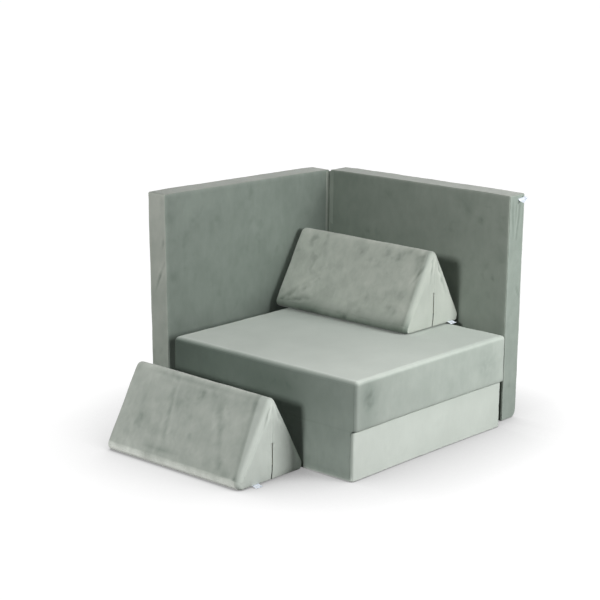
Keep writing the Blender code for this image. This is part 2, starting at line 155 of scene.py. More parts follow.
# Wedges
WEDGE_EDGE = 0.020
WEDGE_END_EDGE = 0.016
WEDGE_END_FOOT = 0.4
WEDGE_FAR_REACH = 0.006
WEDGE_SEAM_WIDTH = 0.004
WEDGE_END_INSET = 0.001
WEDGE_END_SWELL = 0.003
WEDGE_SWELL = 0.004
WEDGE_ZIP_MARGIN = 0.034
WEDGE_SLIT_TOP = 0.124
WEDGE_ROWS = 34
# Painted shade and light on a wedge's cover: shade where the end panel wraps round and beside its seam, a
# highlight along the ridge, and the band along the lower front edge
CAP_SHADE = 0.22
CAP_SEAM_SHADE = 0.15
RIDGE_LIGHT = 0.16
RIDGE_REACH = 0.016
BAND_TOP = 0.033
BAND_TURN = 0.028
BAND_FADE = 0.008
LOW_SHADE_HEIGHT = 0.042

# Grids, seams, folds and slits. A lattice point within TOUCH of a face is on it.
TOUCH = 1e-6
LEAST_GAP = 0.00015
STOP_GAP = 0.0004
FLAT_STEP = 0.011
FINE_STEP = 0.0075
CORE_STEP = 0.050
ARC_LINES = 4
ROUND_LINES = 6
SEAM_LINES = (-0.0045, -0.0026, -0.0013, 0.0, 0.0013, 0.0026, 0.0045)
SLIT_LINES = (0.0, 0.0019, 0.0026, 0.0040, 0.0060)
SLIT_DEPTHS = (-0.0014, -0.0014, -0.0005, -0.0001, 0.0)
SEAM_DEPTH = 0.0012
SEAM_WIDTH = 0.0014
SEAM_LIP = 0.0006
SEAM_LIP_OFF = 0.0034
SEAM_LIGHT_WIDTH = 0.003
PUCKER = 0.0009
PUCKER_REACH = 0.014
ZIP_END_MARGIN = 0.060
COVER_THICKNESS = 0.0018
SHEET_THICKNESS = 0.0012
CORE_INSET = 0.0045
CHANNEL_HALF = 0.014
CHANNEL_LINES = (0.0, CHANNEL_HALF, CHANNEL_HALF + 0.0005)
CHANNEL_DEPTH = 0.0035
CHANNEL_SPARE = 0.004
PLATEAU = 6
# How folds and pressed marks look. A fold's groove gets painted shade and its raised side a
# painted highlight. RAISED_OFF and FOLD_WANDER are in a fold's widths, and RAISED in its depths.
RAISED_OFF = 1.9
RAISED = 0.45
RAISED_LIGHT = 0.08
FOLD_SHADE = 0.22
FOLD_WANDER = 0.8
PRESS_SHADE = 0.55

# Each panel's tone: partly its nap, which lies a different way on each panel, and partly painted
# light and shade for how light falls on that face. Its albedo, and its relative change per metre
# along X, Y and Z
NAP_AND_LIGHT = {
    "seat_top": (0.507, 0.26, -0.55, 0.0), "front": (0.213, 1.08, 0.0, -0.26),
    "upper_side": (0.457, 0.0, 0.04, 0.01), "lower_side": (0.645, 0.0, -0.22, -0.02),
    "base_back": (0.44, 0.0, 0.0, 0.0), "base_inner": (0.46, 0.0, 0.0, 0.0),
    "underside": (0.40, 0.0, 0.0, 0.0),
    "arm_inner": (0.243, 0.2, 0.0, 0.45), "arm_end": (0.395, 0.0, 0.01, 0.77),
    "back_inner": (0.171, 0.7, 0.0, 0.63), "back_end": (0.316, 0.0, 0.01, -0.25),
    "mat_top": (0.355, 0.0, 0.0, 0.0), "mat_outer": (0.36, 0.0, 0.0, 0.0),
    "seat_wedge_slope": (0.387, 0.29, 0.0, -0.01), "seat_wedge_end": (0.484, 0.0, -0.01, -0.03),
    "floor_wedge_slope": (0.485, -0.24, 0.0, -0.1), "floor_wedge_end": (0.724, 0.0, -0.09, -0.09),
}
# How much warmer a panel looks than the plain sage, from 0 to 1
WARMTH = {"mat_top": 0.45, "arm_end": 0.3, "back_inner": 0.3, "seat_wedge_slope": 0.35,
          "floor_wedge_slope": 0.15, "seat_wedge_end": 0.2}

# Each wedge's far_rise, cap and band, which wedge_form() and wedge() explain, then its folds
# and pressed marks on the front slope, and its folds on the near end. A fold has a start, an
# end, a width and a depth, and a mark a place, a reach and a strength. On the front slope a
# place is its X and its distance down from the ridge, and on the near end its Y and height.
WEDGES = {"floor_wedge": (0.006, 0.042, 1.1, (
    ((-0.099, 0.02), (-0.061, 0.212), 0.0075, 0.0024),
    ((-0.215, -0.006), (0.235, -0.004), 0.006, 0.0018),
    ((0.112, 0.04), (0.202, 0.244), 0.01, 0.0008),
    ((-0.15, 0.232), (0.02, 0.238), 0.011, 0.001),
), (
    (0.032, 0.026, 0.015, 0.55), (0.022, 0.043, 0.011, 0.5), (-0.051, 0.082, 0.018, 0.25),
    (0.252, 0.022, 0.014, 0.4), (0.156, 0.115, 0.013, 0.4), (0.196, 0.229, 0.011, 0.6),
    (0.231, 0.255, 0.011, 0.5), (0.274, 0.262, 0.012, 0.5), (-0.18, 0.15, 0.03, 0.2),
    (0.085, 0.15, 0.03, 0.15),
), (
    ((-0.006, 0.268), (-0.036, 0.175), 0.004, 0.0024),
    ((0.008, 0.268), (0.04, 0.158), 0.004, 0.0026),
    ((0.02, 0.235), (0.046, 0.17), 0.0035, 0.002),
    ((-0.012, 0.24), (-0.024, 0.2), 0.003, 0.0018),
)), "seat_wedge": (0.0, 0.018, -0.68, (
    ((-0.284, 0.262), (-0.13, 0.14), 0.0065, 0.0032),
    ((-0.284, 0.266), (-0.15, 0.186), 0.006, 0.0034),
    ((-0.286, 0.268), (-0.13, 0.232), 0.006, 0.003),
    ((0.285, 0.04), (0.255, 0.12), 0.0045, 0.001),
), (
    (0.005, 0.036, 0.018, 0.3), (0.111, 0.018, 0.02, 0.35), (0.168, 0.028, 0.02, 0.35),
    (0.097, 0.067, 0.02, 0.2), (0.262, 0.022, 0.012, 0.4), (0.262, 0.064, 0.016, 0.35),
    (0.202, 0.212, 0.012, 0.5), (0.224, 0.22, 0.01, 0.6), (0.1, 0.197, 0.016, 0.35),
    (0.232, 0.158, 0.02, 0.3), (-0.221, 0.022, 0.016, 0.35),
), (
    ((0.006, 0.268), (0.041, 0.148), 0.0042, 0.0028),
    ((-0.004, 0.266), (-0.023, 0.157), 0.004, 0.0022),
    ((0.016, 0.24), (0.03, 0.17), 0.0032, 0.0018),
    ((0.022, 0.215), (0.07, 0.11), 0.006, 0.0014),
))}
# On the mat a place is its distance from the corner and its height, and on a panel's end
# its distance from the inner face and its height
ARM_MARKS = (
    (0.769, 0.631, 0.016, 0.3), (0.777, 0.511, 0.018, 0.35), (0.568, 0.683, 0.014, 0.25),
    (0.673, 0.68, 0.028, 0.18), (0.41, 0.495, 0.022, 0.2), (0.563, 0.415, 0.01, 0.35),
    (0.536, 0.358, 0.011, 0.3), (0.78, 0.715, 0.022, 0.25),
)
BACK_MARKS = (
    (0.635, 0.727, 0.015, 0.5), (0.687, 0.699, 0.012, 0.5), (0.728, 0.441, 0.01, 0.35),
    (0.187, 0.594, 0.012, 0.4), (0.273, 0.734, 0.018, 0.25), (0.745, 0.505, 0.009, 0.5),
    (0.6, 0.752, 0.03, 0.2), (0.77, 0.69, 0.02, 0.3),
)
ARM_END_FOLDS = (
    ((0.012, 0.565), (0.044, 0.487), 0.005, 0.0014),
    ((0.026, 0.54), (0.06, 0.455), 0.0045, 0.0012),
    ((0.014, 0.645), (0.026, 0.61), 0.005, 0.0012),
)
BACK_END_FOLDS = (
    ((0.016, 0.785), (0.024, 0.655), 0.005, 0.0014),
    ((0.062, 0.785), (0.042, 0.635), 0.005, 0.0014),
    ((0.036, 0.77), (0.034, 0.69), 0.004, 0.001),
    ((0.05, 0.48), (0.08, 0.43), 0.005, 0.001),
)
# On a side of the upper base half a place is its Y and its height from the middle
SIDE_MARKS = ((-0.335, 0.015, 0.03, 0.4), (0.3, 0.0, 0.06, 0.2))
# Painted shade and painted light on the front panel, for how light falls across it: X, height,
# reach along and up, and how much lighter
PANEL_AREAS = ((0.08, 0.26, 0.13, 0.07, -0.3), (0.25, 0.07, 0.15, 0.06, 0.12))
# What carries each label, and how many degrees it has turned just off its seam
LABELS = {"seat_wedge": ("seat_wedge", 0), "floor_wedge": ("floor_wedge", 0), "back": ("mat_back", 32)}


# Shader maths

class Value:
    """A node's output. Sums, differences and products of values add Math nodes."""

    def __init__(self, nodes, socket):
        self.nodes = nodes
        self.socket = socket

    def maths(self, operation, other):
        return self.nodes.add("ShaderNodeMath", {"operation": operation}, {0: self, 1: other})

    def __add__(self, other):
        return self.maths("ADD", other)

    __radd__ = __add__

    def __sub__(self, other):
        return self.maths("SUBTRACT", other)

    def __mul__(self, other):
        return self.maths("MULTIPLY", other)


class Nodes:
    """A node tree under construction."""

    def __init__(self, tree):
        self.tree = tree

    def add(self, kind, settings=None, sockets=None, output=0):
        """Adds a node with its settings, then its sockets' values or links. Gives one output."""
        node = self.tree.nodes.new(kind)
        for name, value in (settings or {}).items():
            setattr(node, name, value)
        for name, value in (sockets or {}).items():
            self.join(node.inputs[name], value)
        return Value(self, node.outputs[output])

    def join(self, socket, value):
        if isinstance(value, Value):
            self.tree.links.new(value.socket, socket)
        else:
            socket.default_value = value

    def mix(self, factor, first, second, blend="MIX"):
        return self.add("ShaderNodeMix", {"data_type": "RGBA", "blend_type": blend}, {
            0: factor, 6: first, 7: second}, 2)

    def seen(self):
        """1 where the surface or the sky is looked at, and 0 where it only gives light."""
        return sum((self.add("ShaderNodeLightPath", output=ray) for ray in SEEN_RAYS), 0.0)


class Finish(Nodes):
    """A material under construction, with its Principled shader ready."""

    def __init__(self, name, **fixed):
        self.material = bpy.data.materials.new(name)
        self.material.use_nodes = True
        super().__init__(self.material.node_tree)
        self.shader = self.tree.nodes["Principled BSDF"]
        for socket, value in fixed.items():
            self.feed(socket.replace("_", " "), value)

    def feed(self, name, value):
        self.join(self.shader.inputs[name], value)

    def attribute(self, name):
        return self.add("ShaderNodeAttribute", {"attribute_name": name}, output="Fac")

    def places(self, stretch=(1.0, 1.0, 1.0)):
        """Object coordinates, multiplied by stretch."""
        own = self.add("ShaderNodeTexCoord", output="Object")
        return self.add("ShaderNodeVectorMath", {"operation": "MULTIPLY"}, {0: own, 1: stretch})

    def noise(self, where, scale, detail=3.0, roughness=0.5, distortion=0.0):
        """A noise from 0 to 1, with its middle at a half."""
        return self.add("ShaderNodeTexNoise", None, {
            "Vector": where, "Scale": scale, "Detail": detail,
            "Roughness": roughness, "Distortion": distortion,
        })

    def ramp(self, factor, stops):
        """A colour ramp. A stop's colour is one number for a grey, or three."""
        ramp = self.add("ShaderNodeValToRGB", None, {"Fac": factor})
        elements = ramp.socket.node.color_ramp.elements
        while len(elements) < len(stops):
            elements.new(1.0)
        for element, (position, colour) in zip(elements, stops):
            element.position = position
            shade = (colour, colour, colour) if isinstance(colour, float) else colour
            element.color = (*shade, 1.0)
        return ramp

    def bump(self, height, distance, strength=1.0):
        return self.add("ShaderNodeBump", None, {
            "Height": height, "Distance": distance, "Strength": strength,
        })


# Finishes

def velvet_finish():
    """Sage crushed velvet. Its pile leans a different way on each panel and is smudged where it
    was pressed. Painted light rides on its tones: painted highlights along the seams and rounded
    edges, painted shade in grooves, folds and gaps, and panel tones set partly by how light falls."""
    velvet = Finish("sage_velvet", Roughness=0.9, Specular_IOR_Level=0.15,
                    Sheen_Weight=0.2, Sheen_Roughness=0.4)
    where = velvet.places()
    drift = velvet.noise(where, 3.0, 2.0) - 0.5
    clouds = velvet.noise(where, 12.0, 2.0) - 0.5
    mottle = velvet.noise(velvet.places((1.0, 1.0, 0.6)), 38.0, 3.0, 0.5, 0.3) - 0.5
    regions = velvet.ramp(velvet.noise(where, 6.5, 1.0), [(0.46, 0.0), (0.62, 1.0)])
    spots = velvet.ramp(velvet.noise(where, 27.0, 1.5, 0.4, 0.3), [(0.56, 0.0), (0.74, 1.0)])
    brushed = velvet.noise(velvet.places((240.0, 240.0, 24.0)), 1.0, 2.0) - 0.5
    pile = velvet.noise(where, 800.0, 2.0) - 0.5
    # Tones from the skin: each panel's pile tone with painted light and shade in it, then painted
    # highlights and painted shade at edges, seams, folds and gaps, and pressed marks
    crush = velvet.attribute("crush")
    brush = velvet.attribute("brush") * (1.0 + mottle * 0.8)
    shade = velvet.attribute("nap_and_light") * (
        1.0 + drift * 0.25 + crush * (clouds * 0.40 + mottle * 0.40 - spots * regions * 0.20)
        + brushed * 0.04 + pile * 0.10 + brush)
    sage = velvet.ramp(shade, [
        (0.0, (0.0, 0.0, 0.0)), (0.15, (0.118, 0.150, 0.126)), (0.35, (0.306, 0.352, 0.314)),
        (0.60, (0.552, 0.600, 0.548)), (1.0, (0.94, 1.0, 0.93))])
    warm = (1.14, 1.0, 0.96, 1.0)
    velvet.feed("Base Color", velvet.mix(velvet.attribute("warmth"), sage, warm, "MULTIPLY"))
    velvet.feed("Normal", velvet.bump(pile * 0.4 + mottle * 0.7 + brushed * 0.25, 0.0012, 0.6))
    return velvet.material


def foam_finish():
    foam = Finish("cream_foam", Roughness=0.95)
    where = foam.places()
    pores = foam.add("ShaderNodeTexVoronoi", None, {"Vector": where, "Scale": 420.0})
    age = foam.noise(where, 5.0, 3.0)
    foam.feed("Base Color", foam.ramp(age + pores * 0.3, [
        (0.3, (0.62, 0.55, 0.38)), (0.8, (0.82, 0.77, 0.60))]))
    foam.feed("Normal", foam.bump(pores, 0.0008))
    return foam.material


def tape_finish():
    """Woven zip tape: a fine twill in dark green."""
    tape = Finish("zip_tape", Roughness=0.75)
    where = tape.places()
    twill = tape.add("ShaderNodeTexWave", {"bands_direction": "DIAGONAL"}, {
        "Vector": where, "Scale": 420.0, "Distortion": 0.6})
    wear = tape.noise(where, 60.0, 3.0)
    tape.feed("Base Color", tape.ramp(wear * 0.6 + twill * 0.4, [
        (0.2, (0.020, 0.026, 0.021)), (0.8, (0.060, 0.074, 0.062))]))
    tape.feed("Normal", tape.bump(twill, 0.0003))
    return tape.material


def slider_finish():
    slider = Finish("zip_slider", Roughness=0.35, Metallic=0.9)
    scratches = slider.noise(slider.places((900.0, 90.0, 90.0)), 1.0, 3.0)
    dull = slider.noise(slider.places(), 300.0, 2.0)
    slider.feed("Base Color", slider.ramp(dull, [(0.3, (0.25, 0.26, 0.26)), (0.7, (0.42, 0.43, 0.43))]))
    slider.feed("Roughness", 0.25 + scratches * 0.3)
    return slider.material


def label_finish():
    """Blank satin ribbon, woven fine."""
    label = Finish("white_satin", Roughness=0.45, Sheen_Weight=0.2)
    where = label.places()
    ribs = label.add("ShaderNodeTexWave", {"bands_direction": "Y"}, {
        "Vector": where, "Scale": 500.0, "Distortion": 0.3})
    tint = label.noise(where, 90.0, 2.0)
    label.feed("Base Color", label.ramp(tint, [(0.3, (0.66, 0.73, 0.86)), (0.7, (0.84, 0.88, 0.94))]))
    label.feed("Normal", label.bump(ribs, 0.0002))
    return label.material


# Skins

def lattice(lines):
    """The outside of a lattice: its points, and its squares facing out."""
    counts = [len(line) - 1 for line in lines]
    strides = ((counts[1] + 1) * (counts[2] + 1), counts[2] + 1, 1)
    squares = []
    for axis in range(3):
        first, second = (axis + 1) % 3, (axis + 2) % 3
        i, j = np.meshgrid(np.arange(counts[first]), np.arange(counts[second]), indexing="ij")
        corner = i.ravel() * strides[first] + j.ravel() * strides[second]
        for high in (0, 1):
            start = corner + high * counts[axis] * strides[axis]
            turn = [0, strides[first], strides[first] + strides[second], strides[second]]
            squares.append(np.stack([start + step for step in (turn if high else turn[::-1])], axis=1))
    squares = np.concatenate(squares)
    used, faces = np.unique(squares, return_inverse=True)
    index = np.stack([used // strides[0], used // strides[1] % (counts[1] + 1), used % strides[1]])
    points = np.stack([np.array(line)[row] for line, row in zip(lines, index)], axis=1)
    return points, faces.reshape(squares.shape)


def fill_in(marks, step):
    """Grid lines through all the marks, with no gap wider than step. A mark that nearly
    repeats the one before is left out."""
    lines = []
    for mark in sorted(marks):
        if not lines:
            lines.append(mark)
        elif mark - lines[-1] > LEAST_GAP:
            count = max(1, ceil((mark - lines[-1]) / step - TOUCH))
            low = lines[-1]
            lines += [low + (mark - low) * k / count for k in range(1, count + 1)]
    return lines


def arc_marks(half, radius):
    """Places where grid lines cross a round edge at half, evenly in angle."""
    return [half - radius + radius * tan(pi / 4 * k / ARC_LINES) for k in range(ARC_LINES + 1)]


def round_marks(radius):
    """Distances from a face at which grid lines cross its round edge, evenly in angle."""
    return [radius * (1 - sin(pi / 2 * k / ROUND_LINES)) for k in range(ROUND_LINES + 1)]


def mirrored(marks):
    return [-mark for mark in marks] + list(marks)


def stops(end):
    """Grid lines at both ends of a zip's run."""
    return mirrored([end, end + STOP_GAP])


def seam_marks(half, inset):
    """Grid lines beside the seams that run at inset from both ends of an axis."""
    return mirrored([half - inset - line for line in SEAM_LINES if line <= inset])


def on_face(at, half, axis, sign):
    """Which lattice points lie on one face of a block."""
    return sign * at[:, axis] > half[axis] - TOUCH


def on_zip(at, half, axis, sign, end):
    """Which lattice points lie on a zip's face, no further along X than end."""
    return on_face(at, half, axis, sign) & (np.abs(at[:, 0]) < end + STOP_GAP / 2)


def link(name, data):
    """A new object in the scene."""
    thing = bpy.data.objects.new(name, data)
    bpy.context.scene.collection.objects.link(thing)
    return thing


def bell(off, width):
    """1 where off is 0, falling to nothing over some widths."""
    return np.exp(-(off / width) ** 2)


def noise_at(points, scale, seed):
    """Perlin noise from -1 to 1 at each point."""
    shift = Vector((seed * 7.1, seed * 3.3, seed * 5.7))
    return np.array([noise.noise(Vector(point) * scale + shift) for point in points])


class Skin:
    """A closed skin over a lattice. at is each point's place in the lattice, and points is
    where it has moved to. Its painted light and marks say how much lighter it shows: painted
    highlights and painted shade at edges, seams, folds and gaps, and darker marks where its pile
    was pressed. capped is how far it belongs to the panel at its X end."""

    def __init__(self, lines, place):
        self.at, self.faces = lattice(lines)
        self.points = place(self.at)
        self.brush = np.zeros(len(self.at))
        self.capped = np.zeros(len(self.at))
        self.find_normals()

    def find_normals(self):
        corners = self.points[self.faces]
        across = np.cross(corners[:, 2] - corners[:, 0], corners[:, 3] - corners[:, 1])
        total = np.zeros_like(self.points)
        for corner in range(4):
            np.add.at(total, self.faces[:, corner], across)
        lengths = np.linalg.norm(total, axis=1, keepdims=True)
        self.normals = total / np.maximum(lengths, 1e-12)

    def push(self, depth):
        self.points = self.points + self.normals * depth[:, None]

    def wave(self, amount, scale, seed, where):
        """Gentle unevenness, as much as where says."""
        self.push(noise_at(self.points, scale, seed) * amount * where)

    def paint_edge_highlights(self, amount):
        """Painted highlight where the skin turns round an edge, as velvet catches the light there."""
        flat = np.abs(self.normals).max(axis=1)
        self.brush += amount * np.clip((1 - flat) / (1 - sqrt(0.5)), 0, 1)

    def sew(self, off, amount, light):
        """A seam where off, the distance from it, is 0: a groove with lips, puckered along it. By
        light, its lips get a painted highlight and its groove painted shade.
        """
        from_lip = np.abs(off) - SEAM_LIP_OFF
        groove = -SEAM_DEPTH * bell(off, SEAM_WIDTH)
        lips = SEAM_LIP * bell(from_lip, SEAM_WIDTH)
        near = np.exp(-np.abs(off) / PUCKER_REACH)
        close = near > 0.05
        ripple = np.zeros(len(off))
        ripple[close] = noise_at(self.points[close], 38.0, 3.0) * PUCKER
        self.push(amount * (groove + lips + ripple * near))
        self.brush += light * (bell(from_lip, SEAM_LIGHT_WIDTH) - 0.6 * bell(off, SEAM_WIDTH))

    def fold(self, start, end, width, depth, where):
        """A fold in the fabric from start to end: pushed in along it and raised beside it, with
        painted shade in its groove and a painted highlight on its raised side.
        """
        run = np.array(end) - np.array(start)
        length = np.linalg.norm(run)
        from_start = self.points - np.array(start)
        share = from_start @ run / length ** 2
        off = np.linalg.norm(from_start - np.clip(share, 0, 1)[:, None] * run, axis=1)
        close = where & (off < 5 * width)
        wander = np.zeros(len(off))
        wander[close] = noise_at(self.points[close], 45.0, 9.0) * width * FOLD_WANDER
        off = np.abs(off + wander)
        fade = np.sin(pi * np.clip(share, 0, 1)) ** 0.5 * close
        raised = bell(off - RAISED_OFF * width, width)
        groove = bell(off, width)
        self.push(depth * (RAISED * raised - groove) * fade)
        self.brush += fade * (RAISED_LIGHT * raised - FOLD_SHADE * groove)

    def press(self, place, reach, strength, where):
        """A mark where the nap was pressed, darker and ragged."""
        apart = self.points - np.array(place)
        off = np.linalg.norm(apart, axis=1)
        close = where & (off < 3 * reach)
        ragged = np.zeros(len(off))
        ragged[close] = 1.0 + noise_at(self.points[close], 70.0, 4.0) * 1.1
        self.brush -= strength * PRESS_SHADE * bell(off, reach) * np.clip(ragged, 0.2, 1.8)

    def open_slit(self, off, inside):
        """Opens a slit where off, the distance from its middle, is small and inside is true.
        Its lips roll in."""
        self.push(np.where(inside, np.interp(np.abs(off), SLIT_LINES, SLIT_DEPTHS), 0.0))
        cut = (inside & (np.abs(off) < SLIT_LINES[1] + 1e-5))[self.faces].all(axis=1)
        self.faces = self.faces[~cut]

    def build(self, name, finish, side_tones, crush, move=None, thickness=COVER_THICKNESS):
        """The piece's object. Its tones and crush are for its six sides, -X, X, -Y, Y, -Z and Z, and
        each tone is a pile tone with painted light and shade. They blend round its edges, by which way
        the skin faces."""
        facing = np.maximum(0, np.stack([self.normals, -self.normals], axis=2)) ** 2
        facing = facing[:, :, ::-1].reshape(len(self.points), 6) * (1 - self.capped)[:, None]
        facing[:, 1] += self.capped
        rules = np.array([NAP_AND_LIGHT.get(nap_and_light, (nap_and_light, 0, 0, 0)) for nap_and_light in side_tones], dtype=float)
        tones = rules[:, 0] * (1 + self.points @ rules[:, 1:].T)
        warmth = np.array([WARMTH.get(nap_and_light, 0.0) for nap_and_light in side_tones])
        kept, faces = np.unique(self.faces, return_inverse=True)
        placed = self.points[kept]
        if move:
            placed = placed @ np.array(move.to_3x3()).T + np.array(move.translation)
        placed[:, 2] = np.maximum(placed[:, 2], cad_box[0][2])
        mesh = bpy.data.meshes.new(name)
        mesh.from_pydata(placed.tolist(), [], faces.reshape(self.faces.shape).tolist())
        for label, values in (
            ("brush", self.brush), ("nap_and_light", (facing * tones).sum(axis=1)),
            ("crush", facing @ np.array(crush)), ("warmth", facing @ warmth),
        ):
            made = mesh.attributes.new(label, "FLOAT", "POINT")
            made.data.foreach_set("value", values[kept].astype(np.float32))
        mesh.materials.append(finish)
        mesh.shade_smooth()
        mesh.set_sharp_from_angle(angle=radians(50))
        piece = link(name, mesh)
        if thickness:
            shell = piece.modifiers.new("fabric", "SOLIDIFY")
            shell.thickness = thickness
            shell.offset = -1.0
        return piece


def rounded(half, low_edge, high_edge):
    """A placing for a block: low_edge and high_edge are the radii at each axis's two ends."""
    half, low_edge, high_edge = np.array(half), np.array(low_edge), np.array(high_edge)

    def place(at):
        edge = np.where(at < 0, low_edge, high_edge)
        inner = np.clip(at, low_edge - half, half - high_edge)
        out = (at - inner) / edge
        length = np.linalg.norm(out, axis=1, keepdims=True)
        return inner + out / np.maximum(length, 1e-9) * edge

    return place


def across_loop(at, half, axis, sign, inset):
    """How far each point is across a seam that runs round one face, at inset from its rim."""
    within = np.min([half[other] - np.abs(at[:, other]) for other in range(3) if other != axis], axis=0)
    below = half[axis] - sign * at[:, axis]
    return np.where(below < 1e-7, within - inset, -(inset + below))


def plateau(at, half, axes):
    """1 in the middle of a face, falling to 0 at its rim."""
    share = 1.0
    for axis in axes:
        share = share * (1 - np.minimum(1.0, np.abs(at[:, axis]) / half[axis]) ** PLATEAU)
    return share


def draw_in(skin, half, axis, along, depth):
    """Pulls both sides across an axis in, most in the middle of their length."""
    outer = (np.abs(skin.at[:, axis]) / half[axis]) ** 4
    pull = depth * (1 - (np.minimum(1.0, np.abs(skin.at[:, along]) / half[along])) ** 2) * outer
    skin.points[:, axis] -= np.sign(skin.at[:, axis]) * pull


def declare(piece, node, body):
    """Hides the CAD part that a padded piece stands for, and hangs the piece on the body that carries it.
    """
    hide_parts(node)
    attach(piece, body)


def build_core(skin, behind_zip, across, name, body, finish, move):
    """The foam inside a cover: its form, smaller by the cover. behind_zip is where the zip runs
    and across how far each point is from its line, where the foam has a channel."""
    channel = behind_zip & (np.abs(across) < CHANNEL_HALF + TOUCH)
    skin.push(np.where(channel, -CORE_INSET - CHANNEL_DEPTH, -CORE_INSET))
    piece = skin.build(name + "_core", finish, [0.5] * 6, [0.0] * 6, move, 0)
    declare(piece, name + "_foam", body)


# Base

def base_form(half, low_edge, high_edge, crown, marks, step):
    """A base half's form: a rounded block with a crowned top and sides drawn in."""
    low_edges = (SEAT_LEFT_CORNER, SEAT_CORNER, low_edge)
    high_edges = (SEAT_CORNER, SEAT_CORNER, high_edge)
    skin = Skin([fill_in(line, step) for line in marks], rounded(half, low_edges, high_edges))
    skin.points[:, 2] += crown * plateau(skin.at, half, (0, 1)) * on_face(skin.at, half, 2, 1)
    draw_in(skin, half, 0, 1, SIDE_DRAW)
    skin.find_normals()
    return skin


def base_half(name, node, low_edge, high_edge, crown, crush, seams, side_tones, velvet, foam):
    """One half of the folded base, about the middle of its CAD cover. Only the upper half has
    a crown. crush is for its X sides, and a seam has its side, inset, depth and painted highlight."""
    low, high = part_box(node + "_cover")
    middle = (low + high) / 2
    half = (high - low) / 2
    half.z -= crown / 2
    move = Matrix.Translation(middle - Vector((0, 0, crown / 2)))
    slit_end = half.x - ZIP_END_MARGIN
    channel_end = slit_end + CHANNEL_SPARE
    marks_x = mirrored(arc_marks(half.x, SEAT_CORNER)) + stops(slit_end)
    marks_x += [-mark for mark in arc_marks(half.x, SEAT_LEFT_CORNER)]
    marks_y = mirrored(arc_marks(half.y, SEAT_CORNER))
    marks_z = [-mark for mark in arc_marks(half.z, low_edge)] + arc_marks(half.z, high_edge)
    core_marks = (marks_x + stops(channel_end), marks_y, marks_z + mirrored(CHANNEL_LINES))
    core = base_form(half, low_edge, high_edge, crown, core_marks, CORE_STEP)
    behind_zip = on_zip(core.at, half, 1, 1, channel_end)
    build_core(core, behind_zip, core.at[:, 2], node, node, foam, move)
    for inset in (SEAT_SEAM_INSET, BOX_SEAM_INSET):
        marks_x += seam_marks(half.x, inset)
        marks_y += seam_marks(half.y, inset)
    marks_z += mirrored(SLIT_LINES)
    skin = base_form(half, low_edge, high_edge, crown, (marks_x, marks_y, marks_z), FLAT_STEP)
    at = skin.at
    x, y, z = at.T
    side = on_face(at, half, 0, 1) | on_face(at, half, 0, -1)
    front = on_face(at, half, 1, -1)
    skin.points[:, 1] += 3 * PANEL_PROUD * front
    loose = side | on_face(at, half, 2, 1) & (crown > 0)
    skin.wave(0.0008, 9.0, 1.0, loose)
    skin.wave(0.0005, 24.0, 2.0, loose)
    # Painted highlights round the edges, and painted shade along the seat's rounded front top edge
    skin.paint_edge_highlights(0.10)
    turned = np.maximum(0, skin.normals[:, 2]) * np.maximum(0, -skin.normals[:, 1])
    skin.brush -= TOP_EDGE_SHADE * turned * (z > 0)
    # Seams, each with a painted highlight beside it
    for sign, inset, amount, light in seams:
        off = across_loop(at, half, 2, sign, inset)
        skin.sew(off, amount * ~front, light)
        skin.brush += light * bell(off - 0.003, 0.004)
    split = -half.z if crown else half.z
    within = np.minimum(half.x - np.abs(x), half.y - np.abs(y))
    skin.brush -= SPLIT_SHADE * bell(z - split, 0.005) * bell(within, 0.003)
    if crown:
        for along, height, reach, strength in SIDE_MARKS:
            skin.press((half.x, along, height), reach, strength, side)
        skin.brush -= SIDE_END_SHADE * bell(y - SIDE_END_PLACE, SIDE_END_REACH) * side
    else:
        # Painted highlight along the bottom edge of the lower half's front
        skin.brush += FLOOR_EDGE_LIGHT * bell(z + half.z, 0.012) * front
    skin.open_slit(z, on_zip(at, half, 1, 1, slit_end))
    piece = skin.build(name, velvet, side_tones, (crush, crush, 0.3, 0.4, 0.2, 0.10), move)
    declare(piece, node + "_cover", node)


def build_base(velvet, foam):
    base_half("lower_cover", "base_lower", FLOOR_EDGE, SPLIT_EDGE, 0.0, 0.14,
              ((-1, BOX_SEAM_INSET, 0.5, 0.15), (1, BOX_SEAM_INSET, 0.5, 0.0)),
              ("lower_side", "lower_side", "front", "base_back", "underside", "base_inner"), velvet, foam)
    base_half("seat_cover", "base_upper", SPLIT_EDGE, SEAT_TOP_EDGE, SEAT_CROWN, 0.40,
              ((1, SEAT_SEAM_INSET, 0.7, 0.03), (-1, BOX_SEAM_INSET, 0.4, 0.0)),
              ("upper_side", "upper_side", "front", "base_back", "base_inner", "seat_top"), velvet, foam)
    build_front_panel(velvet)


